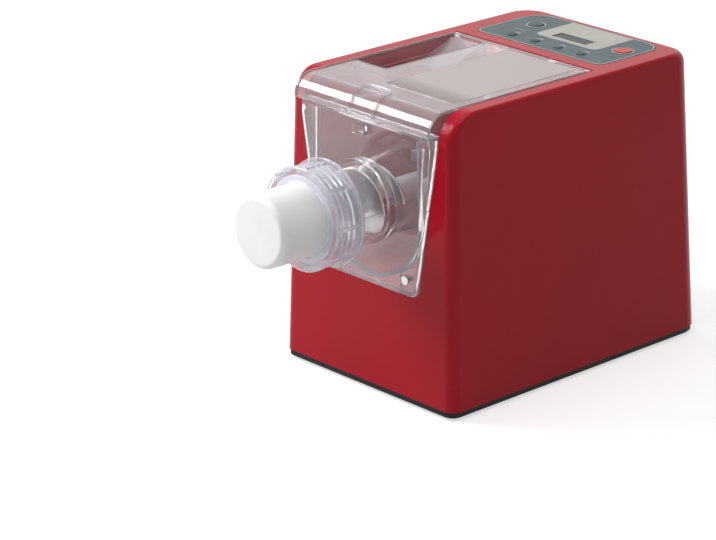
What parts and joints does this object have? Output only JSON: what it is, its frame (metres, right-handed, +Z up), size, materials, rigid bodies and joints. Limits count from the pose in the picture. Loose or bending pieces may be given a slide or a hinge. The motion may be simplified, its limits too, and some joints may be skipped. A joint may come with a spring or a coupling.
{
  "type": "electric pasta maker",
  "caption": "Countertop electric pasta maker: glossy housing, clear lid and sliding mixing chamber, extruder with ring nut and die, geared drive and control panel.",
  "frame": {"origin": "middle of the bounding box's underside, on the surface that the feet stand on", "axes": "+Z up, -Y the front with the extruder and die, +X the viewer's right from the front"},
  "size_m": [0.2274, 0.4838, 0.2915],
  "materials": {
    "red_housing": "glossy metallic red",
    "red_inner": "satin red",
    "black_plastic": "matte black",
    "rubber": "matte",
    "clear": "clear, glossy",
    "frosted": "frosted, translucent",
    "white_die": "matte white",
    "paddle_grey": "satin light grey",
    "seal_grey": "matte grey",
    "slate": "matte slate",
    "display": "glossy dark",
    "start_red": "satin coral red",
    "key_grey": "satin grey",
    "steel": "brushed",
    "nylon": "moulded, satin",
    "motor_grey": "grey paint",
    "cast_alloy": "cast",
    "board_green": "satin green"
  },
  "bodies": {
    "housing": {"housing_shell": "red_housing", "chamber_bay": "red_inner", "base_plate": "black_plastic", "foot_front_left": "rubber", "foot_front_right": "rubber", "foot_rear_left": "rubber", "foot_rear_right": "rubber", "base_screw_1": "steel", "base_screw_2": "steel", "base_screw_3": "steel", "base_screw_4": "steel", "shaft_bearing": "steel", "gearbox_case": "cast_alloy", "gearbox_cover": "cast_alloy", "idler_pin": "steel", "motor_body": "motor_grey", "motor_cradle": "steel", "power_board": "board_green", "control_board": "board_green", "panel_overlay": "slate", "display_window": "display", "display_module": "black_plastic", "hinge_pin_left": "steel", "hinge_pin_right": "steel", "lid_switch": "black_plastic", "cord_gland": "rubber"},
    "lid": {"lid": "clear", "lid_insert": "frosted"},
    "chamber": {"mixing_chamber": "clear", "shaft_seal": "rubber", "chamber_gasket": "seal_grey", "front_plate": "clear", "plate_screw_left": "steel", "plate_screw_right": "steel", "pasta_die": "white_die"},
    "ring": {"ring_nut": "clear"},
    "agitator": {"mixing_paddle": "paddle_grey", "extrusion_screw": "steel"},
    "output": {"drive_shaft": "steel", "output_gear": "nylon"},
    "idler": {"idler_gear": "nylon"},
    "motor": {"motor_shaft": "steel", "motor_pinion": "steel", "motor_fan": "black_plastic"},
    "start_button_body": {"start_button": "start_red"},
    "menu_button_body": {"menu_button": "key_grey"},
    "key_minus_body": {"key_minus": "key_grey"},
    "key_mode_body": {"key_mode": "key_grey"},
    "key_weight_body": {"key_weight": "key_grey"},
    "key_plus_body": {"key_plus": "key_grey"}
  },
  "joints": [
    {"name": "lid_hinge", "type": "hinge", "parent": "housing", "child": "lid", "pos_m": [0, 0.09506, 0.2873], "axis": [-1, 0, 0], "range_deg": [0, 100]},
    {"name": "chamber_slide", "type": "slide", "parent": "housing", "child": "chamber", "axis": [0, -1, 0], "range_m": [0, 0.2]},
    {"name": "ring_nut_turn", "type": "hinge", "parent": "chamber", "child": "ring", "pos_m": [0, -0.18144, 0.188], "axis": [0, -1, 0], "range_deg": [0, 60]},
    {"name": "agitator_turn", "type": "hinge", "parent": "chamber", "child": "agitator", "pos_m": [0, 0.06857, 0.188], "axis": [0, -1, 0], "continuous": true},
    {"name": "output_turn", "type": "hinge", "parent": "housing", "child": "output", "pos_m": [0, 0.10856, 0.188], "axis": [0, -1, 0], "continuous": true},
    {"name": "idler_turn", "type": "hinge", "parent": "housing", "child": "idler", "pos_m": [0, 0.11857, 0.131], "axis": [0, -1, 0], "continuous": true},
    {"name": "motor_turn", "type": "hinge", "parent": "housing", "child": "motor", "pos_m": [0, 0.12857, 0.0905], "axis": [0, -1, 0], "continuous": true},
    {"name": "start_button_press", "type": "slide", "parent": "housing", "child": "start_button_body", "axis": [0, 0, -1], "range_m": [0, 0.001], "stiffness_N_per_m": 1200},
    {"name": "menu_button_press", "type": "slide", "parent": "housing", "child": "menu_button_body", "axis": [0, 0, -1], "range_m": [0, 0.001], "stiffness_N_per_m": 1200},
    {"name": "key_minus_press", "type": "slide", "parent": "housing", "child": "key_minus_body", "axis": [0, 0, -1], "range_m": [0, 0.001], "stiffness_N_per_m": 1200},
    {"name": "key_mode_press", "type": "slide", "parent": "housing", "child": "key_mode_body", "axis": [0, 0, -1], "range_m": [0, 0.001], "stiffness_N_per_m": 1200},
    {"name": "key_weight_press", "type": "slide", "parent": "housing", "child": "key_weight_body", "axis": [0, 0, -1], "range_m": [0, 0.001], "stiffness_N_per_m": 1200},
    {"name": "key_plus_press", "type": "slide", "parent": "housing", "child": "key_plus_body", "axis": [0, 0, -1], "range_m": [0, 0.001], "stiffness_N_per_m": 1200}
  ],
  "couplings": [
    {"joint": "output_turn", "follows": "agitator_turn", "ratio": 1},
    {"joint": "idler_turn", "follows": "agitator_turn", "ratio": -3.75},
    {"joint": "motor_turn", "follows": "agitator_turn", "ratio": 15}
  ]
}
